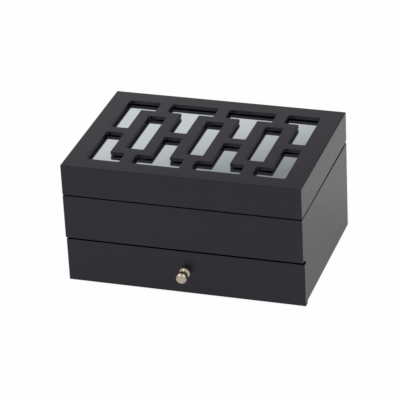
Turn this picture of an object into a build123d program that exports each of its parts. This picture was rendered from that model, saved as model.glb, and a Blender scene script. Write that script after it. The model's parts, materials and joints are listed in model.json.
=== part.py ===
"""Jewelry box: a hinged lid with fretwork over a mirror, a lined tray, and one drawer with a ball knob.

Millimetres. The origin is at the middle of the surface that the box stands on, its front faces -Y,
+X is to the right of someone facing it and +Z is up.
"""

import os
from math import cos, radians, sin, tan

from build123d import *

# Outline of the whole box
box_width = 254.0
box_depth = 180.0
edge_round = 1.0

# Heights, from the table upwards
mat_thickness = 1.5
drawer_front_rise = 0.5
drawer_front_height = 48.0
drawer_seam = 1.8
case_front_height = 49.7
lid_rest_gap = 0.1
lid_height = 33.8

# Board thicknesses of the case
side_thickness = 8.5
back_thickness = 8.5
front_thickness = 8.0
bottom_thickness = 5.0
shelf_thickness = 4.0

# The dark seam under the lid is a rebate round the outside of the case's rim, higher at the back
rebate_depth = 2.2
rebate_front_height = 1.35
rebate_back_height = 2.4
rebate_round = 0.35

# Non-slip mat under the box
mat_inset = 6.0
mat_corner = 6.0

# Lid boards, from the top down
lid_wall = 8.0
fretwork_thickness = 3.5
mirror_thickness = 3.0
mirror_fit = 0.3
backing_thickness = 3.0
lining_strip_thickness = 3.5
lining_strip_width = 18.0
lining_fit = 0.2
lid_bevel_depth = 4.0
lid_bevel_height = 3.1

# Fretwork: columns of slots, with cross bars between the rows
column_count = 7
slot_width = 19.0
column_bar = 13.0
row_bar = 12.0
side_border = 22.0
front_border = 20.0
strip_depth = 19.5
fret_corner = 1.3
fret_edge_round = 0.6

# Tray inside the case
liner_thickness = 2.0
liner_lip = 3.0
tray_divider_thickness = 3.0
tray_divider_drop = 8.0
lap_fit = 0.1
pad_thickness = 2.0
pad_fit = 0.4
pad_round = 0.8
roll_count = 5
roll_diameter = 12.4
roll_gap = 0.4
roll_end_round = 2.5
roll_seat_gap = 0.1

# Drawer
drawer_travel = 120.0
drawer_shift = 1.2
drawer_front_overhang = 0.4
drawer_front_gap = 0.3
drawer_side_play = 1.5
drawer_back_gap = 4.0
drawer_wall = 6.0
drawer_running_gap = 0.3
drawer_side_height = 39.0
drawer_panel_thickness = 3.0
drawer_panel_rise = 3.0
drawer_groove_depth = 3.0
drawer_groove_fit = 0.1
drawer_divider_thickness = 3.0
drawer_divider_height = 25.0
drawer_divider_offset = 37.0
glide_width = 10.0
glide_thickness = 1.0
glide_end_gap = 5.75
stop_width = 80.0
stop_depth = 6.0
stop_thickness = 3.2
stop_catch = 1.8
stop_gap = 0.3

# Knob
knob_rose_radius = 5.6
knob_rose_edge = 0.9
knob_flare_length = 3.4
knob_neck_radius = 2.9
knob_ball_radius = 6.3
knob_stand_off = 10.7
knob_screw_radius = 1.75
knob_screw_grip = 7.0
knob_screw_head_radius = 3.4
knob_screw_head_thickness = 2.0
screw_hole_fit = 0.1

# Screws through the drawer's inner front
front_screw_inset = 31.0
front_screw_radius = 1.5
front_screw_head_radius = 2.9
front_screw_bite = 5.5

# Hinges, on the back faces of the case and the lid
hinge_inset = 52.0
hinge_width = 32.0
leaf_thickness = 1.2
leaf_height = 14.0
barrel_radius = 2.0
barrel_gap = 0.3
knuckle_gap = 0.2
pin_radius = 1.0
pin_fit = 0.05
pin_head_radius = 1.5
pin_head_thickness = 0.6
hinge_axis_rise = 0.4
lid_opening = 100.0
stop_fin_length = 5.5
stop_fin_gap = 0.05
leaf_screw_spacing = 20.0
leaf_screw_height = 9.0
leaf_screw_radius = 1.1
leaf_screw_head_radius = 2.1
leaf_screw_length = 7.0
countersink_angle = 82.0
screw_slot_width = 0.6
screw_slot_depth = 0.5

# Heights that follow
drawer_front_bottom = mat_thickness + drawer_front_rise
drawer_front_top = drawer_front_bottom + drawer_front_height
case_front_bottom = drawer_front_top + drawer_seam
rim_height = case_front_bottom + case_front_height
shelf_top = case_front_bottom + shelf_thickness
bottom_top = mat_thickness + bottom_thickness
lid_bottom = rim_height + lid_rest_gap
lid_top = lid_bottom + lid_height
fretwork_bottom = lid_top - fretwork_thickness
outer_mirror_bottom = fretwork_bottom - mirror_thickness
backing_bottom = outer_mirror_bottom - backing_thickness

# Faces that follow, as distances from the middle
outer_x = box_width / 2
front_y = -box_depth / 2
back_y = box_depth / 2
inner_x = outer_x - side_thickness
inner_front_y = front_y + front_thickness
inner_back_y = back_y - back_thickness
tray_x = inner_x - liner_thickness
tray_front_y = inner_front_y + liner_thickness
tray_back_y = inner_back_y - liner_thickness
lid_inner_x = outer_x - lid_wall
lid_inner_front_y = front_y + lid_wall
lid_inner_back_y = back_y - lid_wall

# Tray layout that follows
ring_section = roll_count * (roll_diameter + roll_gap) + roll_gap
ring_divider_left = -tray_x + ring_section
ring_divider_right = ring_divider_left + tray_divider_thickness
tray_divider_top = rim_height - tray_divider_drop
cross_y = (tray_front_y + tray_back_y) / 2
short_x = (ring_divider_right + tray_x) / 2
roll_height = tray_divider_top - roll_diameter / 2

# Drawer places that follow
drawer_x = drawer_shift
drawer_half_width = inner_x - drawer_side_play
drawer_inner_half_width = drawer_half_width - drawer_wall
drawer_box_front_y = inner_front_y - drawer_front_gap
drawer_box_back_y = inner_back_y - drawer_back_gap
drawer_side_bottom = bottom_top + glide_thickness + drawer_running_gap
drawer_side_top = drawer_side_bottom + drawer_side_height
drawer_panel_bottom = drawer_side_bottom + drawer_panel_rise
drawer_panel_top = drawer_panel_bottom + drawer_panel_thickness
drawer_inner_front_y = drawer_box_front_y + drawer_wall
drawer_inner_back_y = drawer_box_back_y - drawer_wall
drawer_divider_x = drawer_x + drawer_divider_offset
front_screw_reach = drawer_inner_half_width - front_screw_inset
stop_bottom = case_front_bottom - stop_thickness
stop_back_y = drawer_inner_back_y - drawer_travel - stop_gap
knob_height = drawer_front_bottom + drawer_front_height / 2

# Hinge places that follow
hinge_axis_y = back_y + leaf_thickness
hinge_axis_z = rim_height + hinge_axis_rise
knuckle_length = (hinge_width - 2 * knuckle_gap) / 3
knuckle_pitch = knuckle_length + knuckle_gap
hinge_centres = [hinge_inset - outer_x, outer_x - hinge_inset]


def middle(span):
    """Midpoint of a pair of limits."""
    return (span[0] + span[1]) / 2


def extent(span):
    """Length between a pair of limits."""
    return span[1] - span[0]


def board(x_span, y_span, z_span, mode=Mode.ADD):
    """Add a square-edged board between three pairs of limits to the part in work, or cut it away."""
    with BuildSketch(Plane.XY.offset(z_span[0])) as outline:
        with Locations((middle(x_span), middle(y_span))):
            Rectangle(extent(x_span), extent(y_span))
    extrude(outline.sketch, amount=extent(z_span), mode=mode)


def across(x, radius, length, y, z, mode=Mode.ADD):
    """Add a round bar along X from x, or cut it away."""
    with BuildSketch(Plane.YZ.offset(x)) as circle:
        with Locations((y, z)):
            Circle(radius)
    extrude(circle.sketch, amount=length, mode=mode)


def save(piece, name):
    """Name a finished piece and write it to its own file."""
    piece.part.label = name
    export_step(piece.part, f"parts/{name}.step")


# Case


def rebate_floor(y):
    """Height of the rebate's floor at a depth in the box."""
    share = (y - front_y) / box_depth
    return rim_height - rebate_front_height - share * (rebate_back_height - rebate_front_height)


def cut_rebate():
    """Cut the rebate round the outside of the rim from the wall in work."""
    with BuildPart(mode=Mode.PRIVATE) as ring:
        with BuildSketch(Plane.YZ.offset(-outer_x)) as side_view:
            with BuildLine():
                Polyline(
                    (front_y, rebate_floor(front_y)),
                    (back_y, rebate_floor(back_y)),
                    (back_y, rim_height),
                    (front_y, rim_height),
                    close=True,
                )
            make_face()
        extrude(side_view.sketch, amount=box_width)
        board(
            (rebate_depth - outer_x, outer_x - rebate_depth),
            (front_y + rebate_depth, back_y - rebate_depth),
            (rebate_floor(back_y), rim_height),
            Mode.SUBTRACT,
        )
    add(ring.part, mode=Mode.SUBTRACT)


def leaf_screw_places(upward):
    """Places of the four screws of the case leaves, or of the lid leaves with upward 1."""
    return [
        (centre + step * leaf_screw_spacing / 2, hinge_axis_z + upward * leaf_screw_height)
        for centre in hinge_centres
        for step in (-1, 1)
    ]


def cut_leaf_screw_holes(upward):
    """Bore the holes that the leaf screws bite in, from the back face."""
    for x, z in leaf_screw_places(upward):
        with Locations(Plane((x, back_y, z), x_dir=(1, 0, 0), z_dir=(0, 1, 0))):
            Hole(leaf_screw_radius, depth=leaf_screw_length - leaf_thickness)


def round_ends(part, y):
    """Round the two upright corners of a full-width wall at its outer face."""
    upright = part.edges().filter_by(Axis.Z)
    ends = upright.filter_by(lambda edge: abs(edge.center().X) > inner_x)
    fillet(ends.filter_by(lambda edge: abs(edge.center().Y - y) < 0.001), edge_round)


def is_outside(point):
    """Whether a point lies on the box's outer faces, or on a rounded corner between two of them."""
    near_x = outer_x - abs(point.X) < edge_round / 2
    near_y = box_depth / 2 - abs(point.Y) < edge_round / 2
    return near_x or near_y


def soften_outside(part, height_at):
    """Round the outer edges of a wall that run at a height, which is given for each depth in the box."""
    outside = part.edges().filter_by(lambda edge: is_outside(edge.center()))
    fillet(
        outside.filter_by(lambda edge: abs(edge.center().Z - height_at(edge.center().Y)) < 0.01),
        rebate_round,
    )


def make_case_side(name, side):
    """Full-height side wall between the front panel's back and the back wall."""
    with BuildPart() as case_side:
        x_span = sorted((side * inner_x, side * outer_x))
        board(x_span, (inner_front_y, inner_back_y), (mat_thickness, rim_height))
        cut_rebate()
        soften_outside(case_side, rebate_floor)
        soften_outside(case_side, lambda y: mat_thickness)
    save(case_side, name)


def make_case_back():
    """Full-width back wall, with the holes of the hinges' screws."""
    with BuildPart() as case_back:
        board((-outer_x, outer_x), (inner_back_y, back_y), (mat_thickness, rim_height))
        cut_rebate()
        round_ends(case_back, back_y)
        soften_outside(case_back, rebate_floor)
        soften_outside(case_back, lambda y: mat_thickness)
        cut_leaf_screw_holes(-1)
    save(case_back, "case_back")


def make_case_front_panel():
    """Fixed panel of the middle tier, over the front edges of the sides."""
    with BuildPart() as case_front_panel:
        board((-outer_x, outer_x), (front_y, inner_front_y), (case_front_bottom, rim_height))
        cut_rebate()
        round_ends(case_front_panel, front_y)
        soften_outside(case_front_panel, rebate_floor)
        soften_outside(case_front_panel, lambda y: case_front_bottom)
    save(case_front_panel, "case_front_panel")


def make_case_bottom():
    """Bottom board between the sides, flush under them."""
    with BuildPart() as case_bottom:
        board((-inner_x, inner_x), (inner_front_y, inner_back_y), (mat_thickness, bottom_top))
    save(case_bottom, "case_bottom")


def make_tray_shelf():
    """Board that divides the drawer's space from the tray."""
    with BuildPart() as tray_shelf:
        board((-inner_x, inner_x), (inner_front_y, inner_back_y), (case_front_bottom, shelf_top))
    save(tray_shelf, "tray_shelf")


def make_base_mat():
    """Non-slip mat glued under the bottom board and the edges of the walls."""
    reach = outer_x - mat_inset
    with BuildPart() as base_mat:
        board((-reach, reach), (inner_front_y + mat_inset, back_y - mat_inset), (0, mat_thickness))
        fillet(base_mat.edges().filter_by(Axis.Z), mat_corner)
    save(base_mat, "base_mat")


def make_drawer_glide(name, side):
    """Hard strip on the bottom board, under one side of the drawer."""
    with BuildPart() as glide:
        board(
            sorted((side * (inner_x - glide_width), side * inner_x)),
            (inner_front_y + glide_end_gap, inner_back_y - glide_end_gap),
            (bottom_top, bottom_top + glide_thickness),
        )
    save(glide, name)


def make_drawer_stop():
    """Strip under the shelf that catches the drawer's back at the end of its travel."""
    with BuildPart() as drawer_stop:
        board(
            (-stop_width / 2, stop_width / 2),
            (stop_back_y - stop_depth, stop_back_y),
            (stop_bottom, case_front_bottom),
        )
    save(drawer_stop, "drawer_stop")


# Tray


def make_tray_liners():
    """Four fabric-covered boards round the tray, whose tops stand above the rim and locate the lid."""
    heights = (shelf_top, rim_height + liner_lip)
    spans = {
        "tray_liner_left": ((-inner_x, -tray_x), (inner_front_y, inner_back_y)),
        "tray_liner_right": ((tray_x, inner_x), (inner_front_y, inner_back_y)),
        "tray_liner_front": ((-tray_x, tray_x), (inner_front_y, tray_front_y)),
        "tray_liner_back": ((-tray_x, tray_x), (tray_back_y, inner_back_y)),
    }
    for name, (x_span, y_span) in spans.items():
        with BuildPart() as liner:
            board(x_span, y_span, heights)
            fillet(liner.edges().group_by(Axis.Z)[-1], liner_thickness / 4)
        save(liner, name)


def make_tray_dividers():
    """Ring divider from front to back, and two dividers that lap over each other in the right part."""
    heights = (shelf_top, tray_divider_top)
    half = middle(heights)
    slot = tray_divider_thickness / 2 + lap_fit
    with BuildPart() as ring_divider:
        board((ring_divider_left, ring_divider_right), (tray_front_y, tray_back_y), heights)
    save(ring_divider, "tray_ring_divider")

    y_span = (cross_y - tray_divider_thickness / 2, cross_y + tray_divider_thickness / 2)
    with BuildPart() as cross_divider:
        board((ring_divider_right, tray_x), y_span, heights)
        board((short_x - slot, short_x + slot), y_span, (half, tray_divider_top), Mode.SUBTRACT)
    save(cross_divider, "tray_cross_divider")

    x_span = (short_x - tray_divider_thickness / 2, short_x + tray_divider_thickness / 2)
    with BuildPart() as short_divider:
        board(x_span, (tray_front_y, tray_back_y), heights)
        board(x_span, (cross_y - slot, cross_y + slot), (shelf_top, half), Mode.SUBTRACT)
    save(short_divider, "tray_short_divider")


def make_pad(name, x_span, y_span, bottom):
    """Thin floor pad of one compartment, clear of its walls and rounded over along its top."""
    with BuildPart() as pad:
        board(
            (x_span[0] + pad_fit, x_span[1] - pad_fit),
            (y_span[0] + pad_fit, y_span[1] - pad_fit),
            (bottom, bottom + pad_thickness),
        )
        fillet(pad.edges().filter_by(Axis.Z), pad_round)
        fillet(pad.edges().group_by(Axis.Z)[-1], pad_round)
    save(pad, name)


def make_tray_pads():
    """Floor pads of the four open compartments."""
    half = tray_divider_thickness / 2
    columns = {"left": (ring_divider_right, short_x - half), "right": (short_x + half, tray_x)}
    rows = {"front": (tray_front_y, cross_y - half), "back": (cross_y + half, tray_back_y)}
    for row, y_span in rows.items():
        for column, x_span in columns.items():
            make_pad(f"tray_pad_{row}_{column}", x_span, y_span, shelf_top)


def make_ring_base():
    """Foam block under the ring rolls."""
    with BuildPart() as ring_base:
        board(
            (-tray_x + pad_fit, ring_divider_left - pad_fit),
            (tray_front_y + pad_fit, tray_back_y - pad_fit),
            (shelf_top, roll_height - roll_diameter / 2 - roll_seat_gap),
        )
    save(ring_base, "ring_base")


def make_ring_rolls():
    """Padded rolls, side by side from front to back, that grip rings between them."""
    for index in range(roll_count):
        centre_x = -tray_x + roll_gap + roll_diameter / 2 + index * (roll_diameter + roll_gap)
        with BuildPart() as ring_roll:
            with BuildSketch(Plane.XZ.offset(-(tray_back_y - pad_fit))):
                with Locations((centre_x, roll_height)):
                    Circle(roll_diameter / 2)
            extrude(amount=tray_back_y - tray_front_y - 2 * pad_fit)
            fillet(ring_roll.edges().filter_by(GeomType.CIRCLE), roll_end_round)
        save(ring_roll, f"ring_roll_{index + 1}")


# Lid


def fretwork_openings():
    """Openings of the fretwork: slots in the even columns, and legs joined by strips in the odd ones."""
    pitch = slot_width + column_bar
    columns = [(index - (column_count - 1) / 2) * pitch for index in range(column_count)]
    window = outer_x - side_border
    strip_outer = box_depth / 2 - front_border
    strip_inner = strip_outer - strip_depth
    slot_end = strip_inner - row_bar
    stub_edges = [-window]
    for column in columns[1::2]:
        stub_edges += [column - column_bar / 2, column + column_bar / 2]
    stub_edges.append(window)

    for column in columns[1::2]:
        with Locations((column, 0)):
            Rectangle(slot_width, 2 * slot_end)
    for row in (-1, 1):
        leg = (row_bar / 2, strip_outer)
        for column in columns[0::2]:
            leg_sides = (max(column - slot_width / 2, -window), min(column + slot_width / 2, window))
            with Locations((middle(leg_sides), row * middle(leg))):
                Rectangle(extent(leg_sides), extent(leg))
        for strip in zip(stub_edges[0::2], stub_edges[1::2]):
            with Locations((middle(strip), row * (strip_outer + strip_inner) / 2)):
                Rectangle(extent(strip), strip_depth)


def make_lid_fretwork_panel():
    """Top board of the lid, with the openings cut through it to the mirror."""
    with BuildPart() as panel:
        board((-outer_x, outer_x), (front_y, back_y), (fretwork_bottom, lid_top))
        fillet(panel.edges().filter_by(Axis.Z), edge_round)
        with BuildSketch(Plane.XY.offset(fretwork_bottom)) as openings:
            fretwork_openings()
            fillet(openings.vertices(), fret_corner)
        extrude(amount=fretwork_thickness, mode=Mode.SUBTRACT)
        top_face = panel.faces().sort_by(Axis.Z)[-1]
        fillet(top_face.outer_wire().edges(), edge_round)
        top_face = panel.faces().sort_by(Axis.Z)[-1]
        fillet(top_face.inner_wires().edges(), fret_edge_round)
    save(panel, "lid_fretwork_panel")


def make_lid_side_rail(name, side):
    """Side of the lid, between its front and back rails."""
    with BuildPart() as rail:
        x_span = sorted((side * lid_inner_x, side * outer_x))
        board(x_span, (lid_inner_front_y, lid_inner_back_y), (lid_bottom, fretwork_bottom))
        soften_outside(rail, lambda y: lid_bottom)
    save(rail, name)


def make_lid_front_rail():
    """Full-width front of the lid."""
    with BuildPart() as rail:
        board((-outer_x, outer_x), (front_y, lid_inner_front_y), (lid_bottom, fretwork_bottom))
        round_ends(rail, front_y)
        soften_outside(rail, lambda y: lid_bottom)
    save(rail, "lid_front_rail")


def make_lid_back_rail():
    """Full-width back of the lid, bevelled below to clear the hinges' barrels."""
    with BuildPart() as rail:
        with BuildSketch(Plane.YZ.offset(-outer_x)):
            with BuildLine():
                Polyline(
                    (lid_inner_back_y, lid_bottom),
                    (back_y - lid_bevel_depth, lid_bottom),
                    (back_y, lid_bottom + lid_bevel_height),
                    (back_y, fretwork_bottom),
                    (lid_inner_back_y, fretwork_bottom),
                    close=True,
                )
            make_face()
        extrude(amount=box_width)
        round_ends(rail, back_y)
        cut_leaf_screw_holes(1)
    save(rail, "lid_back_rail")


def make_lid_layers():
    """Mirror under the fretwork, and the board that carries it and the inner mirror."""
    x_span = (-lid_inner_x + mirror_fit, lid_inner_x - mirror_fit)
    y_span = (lid_inner_front_y + mirror_fit, lid_inner_back_y - mirror_fit)
    with BuildPart() as outer_mirror:
        board(x_span, y_span, (outer_mirror_bottom, fretwork_bottom))
    save(outer_mirror, "lid_outer_mirror")

    with BuildPart() as backing_board:
        board(
            (-lid_inner_x, lid_inner_x),
            (lid_inner_front_y, lid_inner_back_y),
            (backing_bottom, outer_mirror_bottom),
        )
    save(backing_board, "lid_backing_board")

    edge = lining_strip_width + lining_fit
    with BuildPart() as inner_mirror:
        board(
            (-lid_inner_x + edge, lid_inner_x - edge),
            (lid_inner_front_y + edge, lid_inner_back_y - edge),
            (backing_bottom - mirror_thickness, backing_bottom),
        )
    save(inner_mirror, "lid_inner_mirror")


def make_lid_lining():
    """Four fabric-covered strips that frame the inner mirror."""
    window_x = lid_inner_x - lining_strip_width
    window_front = lid_inner_front_y + lining_strip_width
    window_back = lid_inner_back_y - lining_strip_width
    spans = {
        "lid_lining_left": ((-lid_inner_x, -window_x), (lid_inner_front_y, lid_inner_back_y)),
        "lid_lining_right": ((window_x, lid_inner_x), (lid_inner_front_y, lid_inner_back_y)),
        "lid_lining_front": ((-window_x, window_x), (lid_inner_front_y, window_front)),
        "lid_lining_back": ((-window_x, window_x), (window_back, lid_inner_back_y)),
    }
    for name, (x_span, y_span) in spans.items():
        with BuildPart() as strip:
            board(x_span, y_span, (backing_bottom - lining_strip_thickness, backing_bottom))
        save(strip, name)


# Hinges


def leaf(centre_x, upward, knuckles):
    """Add a hinge leaf on a back face: plate, its share of the barrel, and countersunk screw holes."""
    y_span = (back_y, back_y + leaf_thickness)
    near = upward * (barrel_radius + barrel_gap)
    plate = sorted((hinge_axis_z + near, hinge_axis_z + upward * leaf_height))
    tongue = sorted((hinge_axis_z, hinge_axis_z + near))
    board((centre_x - hinge_width / 2, centre_x + hinge_width / 2), y_span, plate)
    for index in knuckles:
        start = centre_x - hinge_width / 2 + index * knuckle_pitch
        board((start, start + knuckle_length), y_span, tongue)
        across(start, barrel_radius, knuckle_length, hinge_axis_y, hinge_axis_z)
    for x, z in leaf_screw_places(upward):
        if abs(x - centre_x) < hinge_width / 2:
            with Locations(Plane((x, hinge_axis_y, z), x_dir=(1, 0, 0), z_dir=(0, 1, 0))):
                CounterSinkHole(
                    leaf_screw_radius + screw_hole_fit,
                    leaf_screw_head_radius + screw_hole_fit,
                    depth=leaf_thickness,
                    counter_sink_angle=countersink_angle,
                )


def cut_pin_hole(centre_x):
    """Bore the barrel for its pin."""
    start = centre_x - hinge_width / 2
    across(start, pin_radius + pin_fit, hinge_width, hinge_axis_y, hinge_axis_z, Mode.SUBTRACT)


def stop_fin(centre_x):
    """Add the fin on the lid leaf's knuckle that meets the case leaf when the lid is fully open."""
    turn = radians(lid_opening)
    start = centre_x - knuckle_length / 2
    inner = stop_fin_gap
    outer = stop_fin_gap + leaf_thickness
    opened = [(inner, 0), (outer, 0), (outer, -stop_fin_length), (inner, -stop_fin_length)]
    closed = [
        (
            hinge_axis_y + y * cos(turn) - z * sin(turn),
            hinge_axis_z + y * sin(turn) + z * cos(turn),
        )
        for y, z in opened
    ]
    with BuildSketch(Plane.YZ.offset(start)) as fin:
        with BuildLine():
            Polyline(closed, close=True)
        make_face()
    extrude(fin.sketch, amount=knuckle_length)


def make_hinges():
    """Leaves of the two hinges: the case's with two knuckles, the lid's with one and its stop fin."""
    for side, centre_x in zip(("left", "right"), hinge_centres):
        with BuildPart() as case_leaf:
            leaf(centre_x, -1, (0, 2))
            cut_pin_hole(centre_x)
        save(case_leaf, f"hinge_{side}_case_leaf")
        with BuildPart() as lid_leaf:
            leaf(centre_x, 1, (1,))
            stop_fin(centre_x)
            cut_pin_hole(centre_x)
        save(lid_leaf, f"hinge_{side}_lid_leaf")


def make_hinge_pins():
    """One pin through each barrel, with a head at both ends."""
    with BuildPart() as hinge_pins:
        for centre_x in hinge_centres:
            start = centre_x - hinge_width / 2
            across(start, pin_radius, hinge_width, hinge_axis_y, hinge_axis_z)
            for head_x in (start - pin_head_thickness, start + hinge_width):
                across(head_x, pin_head_radius, pin_head_thickness, hinge_axis_y, hinge_axis_z)
    save(hinge_pins, "hinge_pins")


def countersunk_screw(plane, radius, head_radius, length):
    """Add a slotted countersunk screw whose head is flush with a plane, and which points away from it."""
    head = (head_radius - radius) / tan(radians(countersink_angle / 2))
    with Locations(plane.offset(-head / 2)):
        Cone(radius, head_radius, head)
    with Locations(plane.offset(-(head + length) / 2)):
        Cylinder(radius, length - head)
    with Locations(plane.offset(-screw_slot_depth / 2)):
        Box(2 * head_radius, screw_slot_width, screw_slot_depth, mode=Mode.SUBTRACT)


def make_leaf_screws(name, upward):
    """The four wood screws that hold the two leaves of the case or of the lid."""
    with BuildPart() as screws:
        for x, z in leaf_screw_places(upward):
            plane = Plane((x, hinge_axis_y, z), x_dir=(1, 0, 0), z_dir=(0, 1, 0))
            countersunk_screw(plane, leaf_screw_radius, leaf_screw_head_radius, leaf_screw_length)
    save(screws, name)


# Drawer


def front_screw_planes():
    """Planes of the two screw heads on the inner front's inside face."""
    return [
        Plane(
            (drawer_x + step * front_screw_reach, drawer_inner_front_y, knob_height),
            x_dir=(1, 0, 0),
            z_dir=(0, 1, 0),
        )
        for step in (-1, 1)
    ]


def cut_knob_screw_hole():
    """Bore the hole of the knob's screw through a front board."""
    with Locations(Plane((drawer_x, front_y, knob_height), x_dir=(1, 0, 0), z_dir=(0, -1, 0))):
        Hole(knob_screw_radius + screw_hole_fit, depth=2 * (front_thickness + drawer_wall))


def make_drawer_front():
    """Overlay front, a little wider than the box, that covers the front edges of the sides."""
    half_width = outer_x + drawer_front_overhang
    with BuildPart() as drawer_front:
        board(
            (drawer_x - half_width, drawer_x + half_width),
            (front_y, drawer_box_front_y),
            (drawer_front_bottom, drawer_front_top),
        )
        fillet(drawer_front.edges().group_by(Axis.Y)[0], edge_round)
        cut_knob_screw_hole()
        for plane in front_screw_planes():
            with Locations(plane):
                Hole(front_screw_radius, depth=drawer_wall + front_screw_bite)
    save(drawer_front, "drawer_front")


def panel_groove():
    """Cut the groove for the bottom panel all round the inside of the drawer."""
    reach = drawer_groove_depth + drawer_groove_fit
    board(
        (drawer_x - drawer_inner_half_width - reach, drawer_x + drawer_inner_half_width + reach),
        (drawer_inner_front_y - reach, drawer_box_back_y),
        (drawer_panel_bottom, drawer_panel_top),
        Mode.SUBTRACT,
    )


def make_drawer_inner_front():
    """Front of the drawer's box, behind the overlay front."""
    with BuildPart() as inner_front:
        board(
            (drawer_x - drawer_inner_half_width, drawer_x + drawer_inner_half_width),
            (drawer_box_front_y, drawer_inner_front_y),
            (drawer_side_bottom, drawer_side_top),
        )
        panel_groove()
        cut_knob_screw_hole()
        for plane in front_screw_planes():
            with Locations(plane):
                CounterSinkHole(
                    front_screw_radius + screw_hole_fit,
                    front_screw_head_radius + screw_hole_fit,
                    depth=drawer_wall,
                    counter_sink_angle=countersink_angle,
                )
    save(inner_front, "drawer_inner_front")


def make_drawer_side(name, side):
    """Side of the drawer's box, grooved for the bottom panel."""
    with BuildPart() as drawer_side:
        x_span = sorted(
            (drawer_x + side * drawer_inner_half_width, drawer_x + side * drawer_half_width)
        )
        board(
            x_span,
            (drawer_box_front_y, drawer_box_back_y),
            (drawer_side_bottom, drawer_side_top),
        )
        panel_groove()
    save(drawer_side, name)


def make_drawer_back():
    """Back of the drawer's box, on the bottom panel, high enough to meet the stop under the shelf."""
    with BuildPart() as drawer_back:
        board(
            (drawer_x - drawer_inner_half_width, drawer_x + drawer_inner_half_width),
            (drawer_inner_back_y, drawer_box_back_y),
            (drawer_panel_top, stop_bottom + stop_catch),
        )
    save(drawer_back, "drawer_back")


def make_drawer_bottom():
    """Bottom panel in the grooves of the sides and the inner front."""
    half_width = drawer_inner_half_width + drawer_groove_depth
    with BuildPart() as drawer_bottom:
        board(
            (drawer_x - half_width, drawer_x + half_width),
            (drawer_inner_front_y - drawer_groove_depth, drawer_box_back_y),
            (drawer_panel_bottom, drawer_panel_top),
        )
    save(drawer_bottom, "drawer_bottom")


def make_drawer_divider():
    """Divider from front to back that parts the drawer into a wide and a narrow compartment."""
    half = drawer_divider_thickness / 2
    with BuildPart() as drawer_divider:
        board(
            (drawer_divider_x - half, drawer_divider_x + half),
            (drawer_inner_front_y, drawer_inner_back_y),
            (drawer_panel_top, drawer_panel_top + drawer_divider_height),
        )
    save(drawer_divider, "drawer_divider")


def make_drawer_pads():
    """Floor pads of the drawer's two compartments."""
    half = drawer_divider_thickness / 2
    y_span = (drawer_inner_front_y, drawer_inner_back_y)
    left = (drawer_x - drawer_inner_half_width, drawer_divider_x - half)
    right = (drawer_divider_x + half, drawer_x + drawer_inner_half_width)
    make_pad("drawer_pad_left", left, y_span, drawer_panel_top)
    make_pad("drawer_pad_right", right, y_span, drawer_panel_top)


def make_drawer_knob():
    """Turned knob: a thin rose that flares in to a neck, and a ball."""
    axis = Axis((drawer_x, 0, knob_height), (0, 1, 0))
    rose_back = front_y
    rose_front = rose_back - knob_rose_edge
    neck_y = rose_front - knob_flare_length
    ball_y = rose_back - knob_stand_off
    ball_start = ball_y + (knob_ball_radius**2 - knob_neck_radius**2) ** 0.5
    with BuildPart() as drawer_knob:
        with BuildSketch(Plane.XY.offset(knob_height)):
            with BuildLine():
                Line((drawer_x, rose_back), (drawer_x + knob_rose_radius, rose_back))
                Line((drawer_x + knob_rose_radius, rose_back), (drawer_x + knob_rose_radius, rose_front))
                flare = TangentArc(
                    (drawer_x + knob_rose_radius, rose_front),
                    (drawer_x + knob_neck_radius, neck_y),
                    tangent=(-1, 0),
                )
                Line(flare @ 1, (drawer_x + knob_neck_radius, ball_start))
                ThreePointArc(
                    (drawer_x + knob_neck_radius, ball_start),
                    (drawer_x + knob_ball_radius, ball_y),
                    (drawer_x, ball_y - knob_ball_radius),
                )
                Line((drawer_x, ball_y - knob_ball_radius), (drawer_x, rose_back))
            make_face()
        revolve(axis=axis)
        with Locations(Plane((drawer_x, rose_back, knob_height), x_dir=(1, 0, 0), z_dir=(0, 1, 0))):
            Hole(knob_screw_radius, depth=knob_screw_grip)
    save(drawer_knob, "drawer_knob")


def make_knob_screw():
    """Pan-head screw from inside the drawer into the knob."""
    length = drawer_inner_front_y - front_y + knob_screw_grip
    plane = Plane((drawer_x, drawer_inner_front_y, knob_height), x_dir=(1, 0, 0), z_dir=(0, 1, 0))
    with BuildPart() as knob_screw:
        with Locations(plane.offset(knob_screw_head_thickness / 2)):
            Cylinder(knob_screw_head_radius, knob_screw_head_thickness)
        fillet(knob_screw.edges().group_by(Axis.Y)[-1], knob_screw_head_thickness / 2)
        with Locations(plane.offset(-length / 2)):
            Cylinder(knob_screw_radius, length)
        with Locations(plane.offset(knob_screw_head_thickness - screw_slot_depth)):
            Box(2 * knob_screw_head_radius, screw_slot_width, 2 * screw_slot_depth, mode=Mode.SUBTRACT)
    save(knob_screw, "knob_screw")


def make_front_screws():
    """Two screws that hold the overlay front to the drawer's box."""
    with BuildPart() as front_screws:
        for plane in front_screw_planes():
            countersunk_screw(
                plane, front_screw_radius, front_screw_head_radius, drawer_wall + front_screw_bite
            )
    save(front_screws, "drawer_front_screws")


os.makedirs("parts", exist_ok=True)

make_case_side("case_left_side", -1)
make_case_side("case_right_side", 1)
make_case_back()
make_case_front_panel()
make_case_bottom()
make_tray_shelf()
make_base_mat()
make_drawer_glide("drawer_glide_left", -1)
make_drawer_glide("drawer_glide_right", 1)
make_drawer_stop()

make_tray_liners()
make_tray_dividers()
make_tray_pads()
make_ring_base()
make_ring_rolls()

make_lid_fretwork_panel()
make_lid_side_rail("lid_left_rail", -1)
make_lid_side_rail("lid_right_rail", 1)
make_lid_front_rail()
make_lid_back_rail()
make_lid_layers()
make_lid_lining()

make_hinges()
make_hinge_pins()
make_leaf_screws("hinge_case_screws", -1)
make_leaf_screws("hinge_lid_screws", 1)

make_drawer_front()
make_drawer_inner_front()
make_drawer_side("drawer_left_side", -1)
make_drawer_side("drawer_right_side", 1)
make_drawer_back()
make_drawer_bottom()
make_drawer_divider()
make_drawer_pads()
make_drawer_knob()
make_knob_screw()
make_front_screws()
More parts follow.
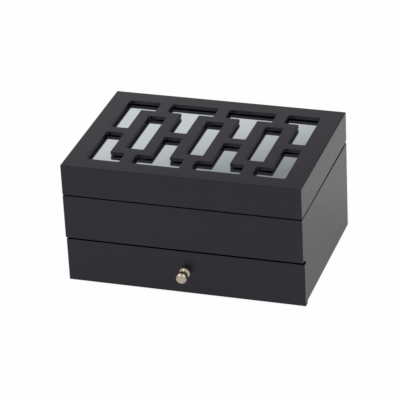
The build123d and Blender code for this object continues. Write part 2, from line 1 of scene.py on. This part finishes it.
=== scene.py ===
"""Looks of the black jewelry box: finishes, padded linings, floor, light and camera.

Metres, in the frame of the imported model: the box stands on z 0 with its front facing -Y.
"""

import json
import math

import bmesh
import bpy
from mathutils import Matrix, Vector, noise


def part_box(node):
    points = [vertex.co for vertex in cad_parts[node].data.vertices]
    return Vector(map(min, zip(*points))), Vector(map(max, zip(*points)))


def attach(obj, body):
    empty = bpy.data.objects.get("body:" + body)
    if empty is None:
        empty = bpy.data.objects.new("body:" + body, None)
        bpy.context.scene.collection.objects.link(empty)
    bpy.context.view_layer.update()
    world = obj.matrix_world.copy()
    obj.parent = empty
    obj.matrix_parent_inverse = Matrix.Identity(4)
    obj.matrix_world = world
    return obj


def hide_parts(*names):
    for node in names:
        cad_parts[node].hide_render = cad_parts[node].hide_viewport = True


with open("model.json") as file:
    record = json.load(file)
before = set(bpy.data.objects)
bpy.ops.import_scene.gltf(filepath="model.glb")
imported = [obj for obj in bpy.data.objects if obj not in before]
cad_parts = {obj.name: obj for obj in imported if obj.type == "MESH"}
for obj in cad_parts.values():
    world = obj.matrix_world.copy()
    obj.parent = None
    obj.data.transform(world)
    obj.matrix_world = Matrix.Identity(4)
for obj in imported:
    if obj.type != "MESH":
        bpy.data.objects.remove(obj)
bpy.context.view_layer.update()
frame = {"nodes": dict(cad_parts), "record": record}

MM = 0.001

# Camera, worked out from the corners of the box in the photograph
camera_azimuth = 18.624
camera_elevation = 27.819
camera_roll = -2.911
camera_distance = 2571.648 * MM
camera_target = Vector((0, -7.36, 64.3)) * MM
camera_slide_right = -6.265 * MM
camera_slide_up = 2.263 * MM
sensor_width = 36.0
lens_length = 221.73
clip_near = 0.1
clip_far = 50

# Stage
floor_reach = 5.0
floor_drop = 0.1 * MM
floor_white = "#F2F2F2"
floor_white_share = 0.97
floor_gloss_share = 0.33
card_distance = 1.2
card_half_width = 1.3
card_height = 1.1
card_slant = 0.32
card_fade_centre = -0.4
card_fade_start = 0.71
card_fade_end = 0.88
card_low_level = 0.7
card_high_level = 0.2
front_sky_level = 0.75
back_sky_level = 0.25
sky_fade_start = -0.35
sky_fade_end = 0.75
lamp_width = 0.6
lamp_power = 7
left_lamp_place = (-1.14, -0.49, 1.57)
right_lamp_place = (1.3, -0.12, 1.45)
lamp_aim = Vector((0, 0, 60)) * MM

# Outer mirror: its silver shows higher than it lies, because the glass bends the view
silver_show_depth = 1.2 * MM
mirror_edge_bevel = 0.4 * MM

# Ring rolls
roll_steps = 40
roll_rings = 72
roll_end_share = 0.42
roll_pucker = 0.25 * MM
roll_folds = 11
roll_fold_shift = 1.7
roll_fold_shift_waves = 3
roll_ripple = 0.12 * MM
roll_ripple_length = 9 * MM
roll_most_shrink = 0.9

# Pads and ring base
pad_lines = 44
pad_edge_round = 0.9 * MM
pad_edge_share = 0.6
pad_crown = 0.35 * MM
pad_draw = 0.35 * MM
pad_dent = 0.12 * MM
pad_dent_length = 13 * MM
pad_top_room = 0.1 * MM

# Meshes
weld_distance = 0.01 * MM


# Materials


def to_linear(code):
    """Linear colour of an sRGB hex code, with alpha 1."""
    channels = []
    for start in (1, 3, 5):
        value = int(code[start : start + 2], 16) / 255
        channels.append(value / 12.92 if value <= 0.04045 else ((value + 0.055) / 1.055) ** 2.4)
    return (*channels, 1.0)


def scale_of(size_mm):
    """Texture scale, in repeats a metre, of a pattern whose features are this many millimetres across."""
    return 1 / (size_mm * MM)


def add_node(tree, kind, inputs, **settings):
    """Add a node with its settings, and give its inputs a value or join them to another node's output."""
    node = tree.nodes.new(kind)
    for name, value in settings.items():
        setattr(node, name, value)
    for name, value in inputs.items():
        if isinstance(value, bpy.types.NodeSocket):
            tree.links.new(value, node.inputs[name])
        else:
            node.inputs[name].default_value = value
    return node


def start_material(name, sockets):
    """New material with constants on its shader: gives material, node tree, shader, object coordinates."""
    material = bpy.data.materials.new(name)
    material.use_nodes = True
    tree = material.node_tree
    shader = tree.nodes["Principled BSDF"]
    for socket, value in sockets.items():
        shader.inputs[socket].default_value = value
    place = add_node(tree, "ShaderNodeTexCoord", {}).outputs["Object"]
    return material, tree, shader, place


def satin_black_lacquer():
    """Sprayed satin lacquer on MDF: near-black, with a soft sheen that a fine orange peel breaks up."""
    material, tree, shader, place = start_material(
        "satin_black_lacquer", {"IOR": 1.45, "Metallic": 0.0}
    )
    cloud = add_node(
        tree, "ShaderNodeTexNoise", {"Vector": place, "Scale": scale_of(45), "Detail": 3.0}
    )
    colour = add_node(
        tree,
        "ShaderNodeMix",
        {0: cloud.outputs["Fac"], 6: to_linear("#0D0615"), 7: to_linear("#12091B")},
        data_type="RGBA",
    )
    tree.links.new(colour.outputs[2], shader.inputs["Base Color"])

    sheen = add_node(
        tree, "ShaderNodeTexNoise", {"Vector": place, "Scale": scale_of(7), "Detail": 4.0}
    )
    roughness = add_node(
        tree,
        "ShaderNodeMapRange",
        {"Value": sheen.outputs["Fac"], "From Min": 0.3, "From Max": 0.7, "To Min": 0.28, "To Max": 0.31},
    )
    tree.links.new(roughness.outputs["Result"], shader.inputs["Roughness"])

    peel = add_node(
        tree, "ShaderNodeTexNoise", {"Vector": place, "Scale": scale_of(0.9), "Detail": 2.0}
    )
    wave = add_node(
        tree, "ShaderNodeTexNoise", {"Vector": place, "Scale": scale_of(30), "Detail": 1.0}
    )
    broad = add_node(
        tree, "ShaderNodeBump", {"Height": wave.outputs["Fac"], "Strength": 0.5, "Distance": 0.03 * MM}
    )
    fine = add_node(
        tree,
        "ShaderNodeBump",
        {
            "Height": peel.outputs["Fac"],
            "Strength": 0.35,
            "Distance": 0.012 * MM,
            "Normal": broad.outputs["Normal"],
        },
    )
    tree.links.new(fine.outputs["Normal"], shader.inputs["Normal"])
    return material


def black_stained_board():
    """Thin board stained matt black: the grain still shows as fine streaks along the board."""
    material, tree, shader, place = start_material(
        "black_stained_board", {"IOR": 1.45, "Metallic": 0.0}
    )
    along = add_node(tree, "ShaderNodeMapping", {"Vector": place, "Scale": (0.06, 1.0, 1.0)})
    grain = add_node(
        tree,
        "ShaderNodeTexNoise",
        {"Vector": along.outputs["Vector"], "Scale": scale_of(1.4), "Detail": 6.0, "Roughness": 0.6},
    )
    colour = add_node(
        tree,
        "ShaderNodeMix",
        {0: grain.outputs["Fac"], 6: to_linear("#131214"), 7: to_linear("#2A2729")},
        data_type="RGBA",
    )
    tree.links.new(colour.outputs[2], shader.inputs["Base Color"])
    roughness = add_node(
        tree,
        "ShaderNodeMapRange",
        {"Value": grain.outputs["Fac"], "From Min": 0.3, "From Max": 0.7, "To Min": 0.55, "To Max": 0.72},
    )
    tree.links.new(roughness.outputs["Result"], shader.inputs["Roughness"])
    bump = add_node(
        tree, "ShaderNodeBump", {"Height": grain.outputs["Fac"], "Strength": 0.6, "Distance": 0.05 * MM}
    )
    tree.links.new(bump.outputs["Normal"], shader.inputs["Normal"])
    return material


def microsuede(name, light, dark, nap_mm):
    """Woven microsuede: a short brushed nap that lies in lighter and darker patches, with a soft sheen."""
    material, tree, shader, place = start_material(
        name,
        {
            "Roughness": 0.92,
            "Metallic": 0.0,
            "IOR": 1.45,
            "Sheen Weight": 0.35,
            "Sheen Roughness": 0.45,
        },
    )
    patches = add_node(
        tree, "ShaderNodeTexNoise", {"Vector": place, "Scale": scale_of(nap_mm), "Detail": 3.0}
    )
    # The fibres are really finer than a pixel, and are drawn this coarse to show
    fibres = add_node(
        tree,
        "ShaderNodeTexNoise",
        {"Vector": place, "Scale": scale_of(0.5), "Detail": 4.0, "Roughness": 0.7},
    )
    mixed = add_node(
        tree,
        "ShaderNodeMix",
        {0: 0.45, 2: patches.outputs["Fac"], 3: fibres.outputs["Fac"]},
        data_type="FLOAT",
    )
    share = add_node(
        tree, "ShaderNodeMapRange", {"Value": mixed.outputs[0], "From Min": 0.35, "From Max": 0.65}
    )
    colour = add_node(
        tree,
        "ShaderNodeMix",
        {0: share.outputs["Result"], 6: to_linear(dark), 7: to_linear(light)},
        data_type="RGBA",
    )
    tree.links.new(colour.outputs[2], shader.inputs["Base Color"])
    bump = add_node(
        tree, "ShaderNodeBump", {"Height": fibres.outputs["Fac"], "Strength": 0.7, "Distance": 0.12 * MM}
    )
    tree.links.new(bump.outputs["Normal"], shader.inputs["Normal"])
    return material


def silvered_mirror(name, rough_low, rough_high):
    """Silver behind thin float glass: a slightly cool reflection, softened by a faint haze."""
    material, tree, shader, place = start_material(name, {"Metallic": 1.0})
    haze = add_node(
        tree, "ShaderNodeTexNoise", {"Vector": place, "Scale": scale_of(18), "Detail": 5.0}
    )
    colour = add_node(
        tree,
        "ShaderNodeMix",
        {0: haze.outputs["Fac"], 6: to_linear("#E4ECF1"), 7: to_linear("#EAF1F5")},
        data_type="RGBA",
    )
    tree.links.new(colour.outputs[2], shader.inputs["Base Color"])
    roughness = add_node(
        tree,
        "ShaderNodeMapRange",
        {
            "Value": haze.outputs["Fac"],
            "From Min": 0.35,
            "From Max": 0.7,
            "To Min": rough_low,
            "To Max": rough_high,
        },
    )
    tree.links.new(roughness.outputs["Result"], shader.inputs["Roughness"])
    return material


def turned_metal(name, light, dark, rough_low, rough_high, scratch_mm):
    """Plated metal with the fine marks of its polishing: warm or cool, with a soft broken highlight."""
    material, tree, shader, place = start_material(name, {"Metallic": 1.0})
    # The marks are really finer than a pixel, and are drawn this coarse to show
    marks = add_node(
        tree,
        "ShaderNodeTexNoise",
        {"Vector": place, "Scale": scale_of(scratch_mm), "Detail": 5.0, "Roughness": 0.65},
    )
    colour = add_node(
        tree,
        "ShaderNodeMix",
        {0: marks.outputs["Fac"], 6: to_linear(dark), 7: to_linear(light)},
        data_type="RGBA",
    )
    tree.links.new(colour.outputs[2], shader.inputs["Base Color"])
    roughness = add_node(
        tree,
        "ShaderNodeMapRange",
        {
            "Value": marks.outputs["Fac"],
            "From Min": 0.3,
            "From Max": 0.7,
            "To Min": rough_low,
            "To Max": rough_high,
        },
    )
    tree.links.new(roughness.outputs["Result"], shader.inputs["Roughness"])
    bump = add_node(
        tree, "ShaderNodeBump", {"Height": marks.outputs["Fac"], "Strength": 0.25, "Distance": 0.01 * MM}
    )
    tree.links.new(bump.outputs["Normal"], shader.inputs["Normal"])
    return material


def moulded_nylon():
    """Extruded nylon strip: waxy off-white, with faint drag lines along it."""
    material, tree, shader, place = start_material(
        "moulded_nylon", {"IOR": 1.53, "Metallic": 0.0, "Subsurface Weight": 0.1}
    )
    along = add_node(tree, "ShaderNodeMapping", {"Vector": place, "Scale": (1.0, 0.04, 1.0)})
    drag = add_node(
        tree,
        "ShaderNodeTexNoise",
        {"Vector": along.outputs["Vector"], "Scale": scale_of(0.8), "Detail": 3.0},
    )
    colour = add_node(
        tree,
        "ShaderNodeMix",
        {0: drag.outputs["Fac"], 6: to_linear("#D3CFC4"), 7: to_linear("#E2DED4")},
        data_type="RGBA",
    )
    tree.links.new(colour.outputs[2], shader.inputs["Base Color"])
    roughness = add_node(
        tree,
        "ShaderNodeMapRange",
        {"Value": drag.outputs["Fac"], "From Min": 0.3, "From Max": 0.7, "To Min": 0.34, "To Max": 0.48},
    )
    tree.links.new(roughness.outputs["Result"], shader.inputs["Roughness"])
    bump = add_node(
        tree, "ShaderNodeBump", {"Height": drag.outputs["Fac"], "Strength": 0.4, "Distance": 0.03 * MM}
    )
    tree.links.new(bump.outputs["Normal"], shader.inputs["Normal"])
    return material


def foam_rubber():
    """Closed-cell foam rubber sheet: dull black, pitted with tiny cells."""
    material, tree, shader, place = start_material("foam_rubber", {"IOR": 1.5, "Metallic": 0.0})
    cells = add_node(tree, "ShaderNodeTexVoronoi", {"Vector": place, "Scale": scale_of(0.8)})
    colour = add_node(
        tree,
        "ShaderNodeMix",
        {0: cells.outputs["Distance"], 6: to_linear("#161617"), 7: to_linear("#242425")},
        data_type="RGBA",
    )
    tree.links.new(colour.outputs[2], shader.inputs["Base Color"])
    roughness = add_node(
        tree, "ShaderNodeMapRange", {"Value": cells.outputs["Distance"], "To Min": 0.95, "To Max": 0.8}
    )
    tree.links.new(roughness.outputs["Result"], shader.inputs["Roughness"])
    bump = add_node(
        tree, "ShaderNodeBump", {"Height": cells.outputs["Distance"], "Strength": 0.8, "Distance": 0.1 * MM}
    )
    tree.links.new(bump.outputs["Normal"], shader.inputs["Normal"])
    return material


finishes = {
    "lacquered_mdf": satin_black_lacquer(),
    "stained_board": black_stained_board(),
    "suede_lining": microsuede("microsuede_lining", "#B3A898", "#978B7C", 14),
    "suede_padding": microsuede("microsuede_padding", "#B6AB9B", "#A19586", 9),
    "mirror_glass": silvered_mirror("silvered_mirror", 0.015, 0.04),
    "satin_nickel": turned_metal("satin_nickel_plate", "#CDC0AE", "#B3A694", 0.26, 0.34, 0.6),
    "zinc_plate": turned_metal("bright_zinc_plate", "#D6D8DA", "#B9BDC1", 0.28, 0.4, 0.4),
    "glide_plastic": moulded_nylon(),
    "rubber": foam_rubber(),
}

# The mirror under the fretwork has more haze than the one inside the lid
fretwork_mirror = silvered_mirror("silvered_mirror_under_fretwork", 0.06, 0.09)

for part in frame["record"]["subparts"]:
    node = frame["nodes"][part["node"]]
    node.data.materials.clear()
    node.data.materials.append(finishes[part["material_slot"]])


# Padded linings


def finish_padding(mesh, name, body):
    """Turn a finished bmesh into a padded piece that stands for the CAD solid of the same place."""
    bmesh.ops.remove_doubles(mesh, verts=mesh.verts, dist=weld_distance)
    bmesh.ops.recalc_face_normals(mesh, faces=mesh.faces)
    for face in mesh.faces:
        face.smooth = True
    data = bpy.data.meshes.new(f"padded_{name}")
    mesh.to_mesh(data)
    mesh.free()
    data.materials.append(finishes["suede_padding"])
    piece = bpy.data.objects.new(f"padded_{name}", data)
    bpy.context.scene.collection.objects.link(piece)
    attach(piece, body)
    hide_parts(name)


def make_roll(name, body):
    """Foam roll wrapped in suede, with rounded ends that are puckered where the cloth is tucked in."""
    low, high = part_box(name)
    radius = (high.x - low.x) / 2
    axis = Vector(((low.x + high.x) / 2, 0, (low.z + high.z) / 2))
    length = high.y - low.y
    end_round = radius * roll_end_share
    mesh = bmesh.new()
    profile = []
    for index in range(roll_rings + 1):
        share = index / roll_rings
        distance = length * (0.5 - 0.5 * math.cos(math.pi * share))
        to_end = min(distance, length - distance)
        if to_end < end_round:
            reach = math.sqrt(max(0.0, end_round**2 - (end_round - to_end) ** 2))
            height = radius - end_round + reach
        else:
            height = radius
        profile.append(mesh.verts.new((axis.x, low.y + distance, axis.z + height)))
    for end in (profile[0], profile[-1]):
        centre = mesh.verts.new((axis.x, end.co.y, axis.z))
        mesh.edges.new((centre, end))
    for first, second in zip(profile, profile[1:]):
        mesh.edges.new((first, second))
    bmesh.ops.spin(
        mesh,
        geom=mesh.verts[:] + mesh.edges[:],
        cent=axis,
        axis=(0, 1, 0),
        dvec=(0, 0, 0),
        angle=math.tau,
        steps=roll_steps,
        use_merge=True,
    )
    for vert in mesh.verts:
        out = Vector((vert.co.x - axis.x, 0, vert.co.z - axis.z))
        if out.length < weld_distance:
            continue
        to_end = min(vert.co.y - low.y, high.y - vert.co.y)
        tuck = max(0.0, 1 - to_end / (2 * end_round))
        turn = math.atan2(out.z, out.x)
        shift = roll_fold_shift * math.sin(roll_fold_shift_waves * turn)
        fold = 0.5 + 0.5 * math.cos(roll_folds * turn + shift)
        ripple = noise.noise(Vector((turn, vert.co.y / roll_ripple_length, axis.x / MM)))
        shrink = roll_pucker * tuck * fold + roll_ripple * (0.5 + 0.5 * ripple)
        vert.co -= out.normalized() * min(shrink, out.length * roll_most_shrink)
    finish_padding(mesh, name, body)


def edge_spaced(share):
    """Place across a span of 1, with the lines of a grid drawn close together near its sides."""
    return 0.5 - 0.5 * math.cos(math.pi * share)


def make_pad(name, body):
    """Thin foam pad wrapped in suede: crowned, rounded over along its top, its sides drawn in a little."""
    low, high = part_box(name)
    size = high - low
    mesh = bmesh.new()
    bmesh.ops.create_grid(mesh, x_segments=pad_lines, y_segments=pad_lines, size=0.5)
    rim = min(pad_edge_round, size.z * pad_edge_share)
    for vert in mesh.verts:
        u = edge_spaced(vert.co.x + 0.5)
        v = edge_spaced(vert.co.y + 0.5)
        in_x = min(u, 1 - u) * size.x
        in_y = min(v, 1 - v) * size.y
        inward = min(in_x, in_y)
        if inward < rim:
            drop = rim - math.sqrt(max(0.0, rim**2 - (rim - inward) ** 2))
        else:
            drop = 0.0
        across_x = 4 * u * (1 - u)
        across_y = 4 * v * (1 - v)
        crown = pad_crown * (across_x * across_y) ** 0.5
        flat = Vector((low.x + u * size.x, low.y + v * size.y, 0))
        dent = pad_dent * noise.noise(flat / pad_dent_length) * (across_x * across_y) ** 0.25
        height = size.z - pad_top_room - pad_crown + crown + dent - drop
        draw = Vector((across_y * (1 - 2 * u), across_x * (1 - 2 * v), 0)) * pad_draw
        vert.co = flat + draw + Vector((0, 0, low.z + height))
    border = [edge for edge in mesh.edges if edge.is_boundary]
    skirt = bmesh.ops.extrude_edge_only(mesh, edges=border)["geom"]
    foot = [item for item in skirt if isinstance(item, bmesh.types.BMVert)]
    for vert in foot:
        vert.co.z = low.z
    hem = [edge for edge in mesh.edges if edge.is_boundary]
    bmesh.ops.contextual_create(mesh, geom=hem)
    finish_padding(mesh, name, body)


for index in range(1, 6):
    make_roll(f"ring_roll_{index}", "case")
make_pad("ring_base", "case")
for row in ("front", "back"):
    for column in ("left", "right"):
        make_pad(f"tray_pad_{row}_{column}", "case")
for side in ("left", "right"):
    make_pad(f"drawer_pad_{side}", "drawer")


# Outer mirror


def make_outer_mirror():
    """Mirror plate under the fretwork, with polished edges and its silver at the depth where it shows."""
    low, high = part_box("lid_outer_mirror")
    high.z -= silver_show_depth
    mesh = bmesh.new()
    bmesh.ops.create_cube(mesh, size=1)
    bmesh.ops.scale(mesh, vec=high - low, verts=mesh.verts)
    bmesh.ops.translate(mesh, vec=(low + high) / 2, verts=mesh.verts)
    bmesh.ops.bevel(
        mesh,
        geom=mesh.edges[:],
        offset=mirror_edge_bevel,
        affect="EDGES",
        segments=2,
        profile=0.5,
        material=-1,
    )
    data = bpy.data.meshes.new("outer_mirror_plate")
    mesh.to_mesh(data)
    mesh.free()
    data.materials.append(fretwork_mirror)
    plate = bpy.data.objects.new("outer_mirror_plate", data)
    bpy.context.scene.collection.objects.link(plate)
    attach(plate, "lid")
    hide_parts("lid_outer_mirror")


make_outer_mirror()


# Stage


def stage_plane(name, corners, material):
    """Flat stage piece through four corners, which isn't part of the box."""
    mesh = bmesh.new()
    mesh.faces.new([mesh.verts.new(corner) for corner in corners])
    data = bpy.data.meshes.new(name)
    mesh.to_mesh(data)
    mesh.free()
    data.materials.append(material)
    plane = bpy.data.objects.new(name, data)
    bpy.context.scene.collection.objects.link(plane)
    return plane


def white_floor_paper():
    """Matt white paper, shown nearly pure white to the camera, with a trace of the box's shadow left."""
    material, tree, shader, _ = start_material(
        "white_floor_paper",
        {"Base Color": to_linear(floor_white), "Roughness": 1.0, "Specular IOR Level": 0.0},
    )
    glow = add_node(tree, "ShaderNodeEmission", {"Color": (1, 1, 1, 1), "Strength": 1.0})
    path = add_node(tree, "ShaderNodeLightPath", {})
    seen = add_node(
        tree,
        "ShaderNodeMath",
        {0: path.outputs["Is Camera Ray"], 1: floor_white_share},
        operation="MULTIPLY",
    )
    glossed = add_node(
        tree,
        "ShaderNodeMath",
        {0: path.outputs["Is Glossy Ray"], 1: floor_gloss_share, 2: seen.outputs[0]},
        operation="MULTIPLY_ADD",
    )
    mix = add_node(
        tree,
        "ShaderNodeMixShader",
        {0: glossed.outputs[0], 1: shader.outputs["BSDF"], 2: glow.outputs["Emission"]},
    )
    tree.links.new(mix.outputs["Shader"], tree.nodes["Material Output"].inputs["Surface"])
    return material


def backdrop_light():
    """White backdrop as the gloss sees it: bright below, fading where the roll of paper ends."""
    material = bpy.data.materials.new("backdrop_light")
    material.use_nodes = True
    tree = material.node_tree
    tree.nodes.clear()
    place = add_node(tree, "ShaderNodeTexCoord", {}).outputs["Object"]
    axes = add_node(tree, "ShaderNodeSeparateXYZ", {"Vector": place})
    slanted = add_node(
        tree,
        "ShaderNodeMath",
        {0: axes.outputs["X"], 1: card_slant, 2: axes.outputs["Z"]},
        operation="MULTIPLY_ADD",
    )
    middle = card_fade_centre * card_slant
    level = add_node(
        tree,
        "ShaderNodeMapRange",
        {
            "Value": slanted.outputs[0],
            "From Min": card_fade_start + middle,
            "From Max": card_fade_end + middle,
            "To Min": card_low_level,
            "To Max": card_high_level,
        },
        interpolation_type="SMOOTHSTEP",
    )
    glow = add_node(
        tree, "ShaderNodeEmission", {"Color": (1, 1, 1, 1), "Strength": level.outputs["Result"]}
    )
    add_node(tree, "ShaderNodeOutputMaterial", {"Surface": glow.outputs["Emission"]})
    return material


stage_plane(
    "floor",
    [
        (-floor_reach, -floor_reach, -floor_drop),
        (floor_reach, -floor_reach, -floor_drop),
        (floor_reach, floor_reach, -floor_drop),
        (-floor_reach, floor_reach, -floor_drop),
    ],
    white_floor_paper(),
)

backdrop = stage_plane(
    "backdrop",
    [
        (-card_half_width, card_distance, 0),
        (card_half_width, card_distance, 0),
        (card_half_width, card_distance, card_height),
        (-card_half_width, card_distance, card_height),
    ],
    backdrop_light(),
)
backdrop.visible_camera = False
backdrop.visible_diffuse = False
backdrop.visible_transmission = False
backdrop.visible_shadow = False


def set_world():
    """Surroundings that are bright in front and dimmer behind, seen as plain white by the camera."""
    world = bpy.data.worlds.new("studio")
    bpy.context.scene.world = world
    world.use_nodes = True
    tree = world.node_tree
    tree.nodes.clear()
    toward = add_node(tree, "ShaderNodeTexCoord", {}).outputs["Generated"]
    axes = add_node(tree, "ShaderNodeSeparateXYZ", {"Vector": toward})
    level = add_node(
        tree,
        "ShaderNodeMapRange",
        {
            "Value": axes.outputs["Y"],
            "From Min": sky_fade_start,
            "From Max": sky_fade_end,
            "To Min": front_sky_level,
            "To Max": back_sky_level,
        },
        interpolation_type="SMOOTHSTEP",
    )
    around = add_node(
        tree, "ShaderNodeBackground", {"Color": (1, 1, 1, 1), "Strength": level.outputs["Result"]}
    )
    white = add_node(tree, "ShaderNodeBackground", {"Color": (1, 1, 1, 1), "Strength": 1.0})
    path = add_node(tree, "ShaderNodeLightPath", {})
    mix = add_node(
        tree,
        "ShaderNodeMixShader",
        {
            0: path.outputs["Is Camera Ray"],
            1: around.outputs["Background"],
            2: white.outputs["Background"],
        },
    )
    add_node(tree, "ShaderNodeOutputWorld", {"Surface": mix.outputs["Shader"]})


def softbox(name, place):
    """Soft square lamp at a place, facing the middle of the box."""
    data = bpy.data.lights.new(name, "AREA")
    data.shape = "SQUARE"
    data.size = lamp_width
    data.energy = lamp_power
    lamp = bpy.data.objects.new(name, data)
    bpy.context.scene.collection.objects.link(lamp)
    lamp.location = place
    aim = lamp_aim - lamp.location
    lamp.rotation_mode = "QUATERNION"
    lamp.rotation_quaternion = aim.to_track_quat("-Z", "Y")


set_world()
softbox("left_softbox", left_lamp_place)
softbox("right_softbox", right_lamp_place)


# Camera


def set_camera():
    """Camera at the photograph's place, turned a little about its own axis."""
    azimuth = math.radians(camera_azimuth)
    elevation = math.radians(camera_elevation)
    roll = math.radians(camera_roll)
    back = Vector(
        (
            math.sin(azimuth) * math.cos(elevation),
            -math.cos(azimuth) * math.cos(elevation),
            math.sin(elevation),
        )
    )
    level_right = Vector((0, 0, 1)).cross(back).normalized()
    level_up = back.cross(level_right)
    right = level_right * math.cos(roll) + level_up * math.sin(roll)
    up = level_up * math.cos(roll) - level_right * math.sin(roll)
    data = bpy.data.cameras.new("camera")
    data.sensor_width = sensor_width
    data.lens = lens_length
    data.clip_start = clip_near
    data.clip_end = clip_far
    camera = bpy.data.objects.new("camera", data)
    bpy.context.scene.collection.objects.link(camera)
    matrix = camera.matrix_world.copy()
    for row in range(3):
        matrix[row][0] = right[row]
        matrix[row][1] = up[row]
        matrix[row][2] = back[row]
    place = camera_target + camera_slide_right * right + camera_slide_up * up + camera_distance * back
    matrix.translation = place
    camera.matrix_world = matrix
    bpy.context.scene.camera = camera


set_camera()
bpy.context.scene.view_settings.view_transform = "Standard"
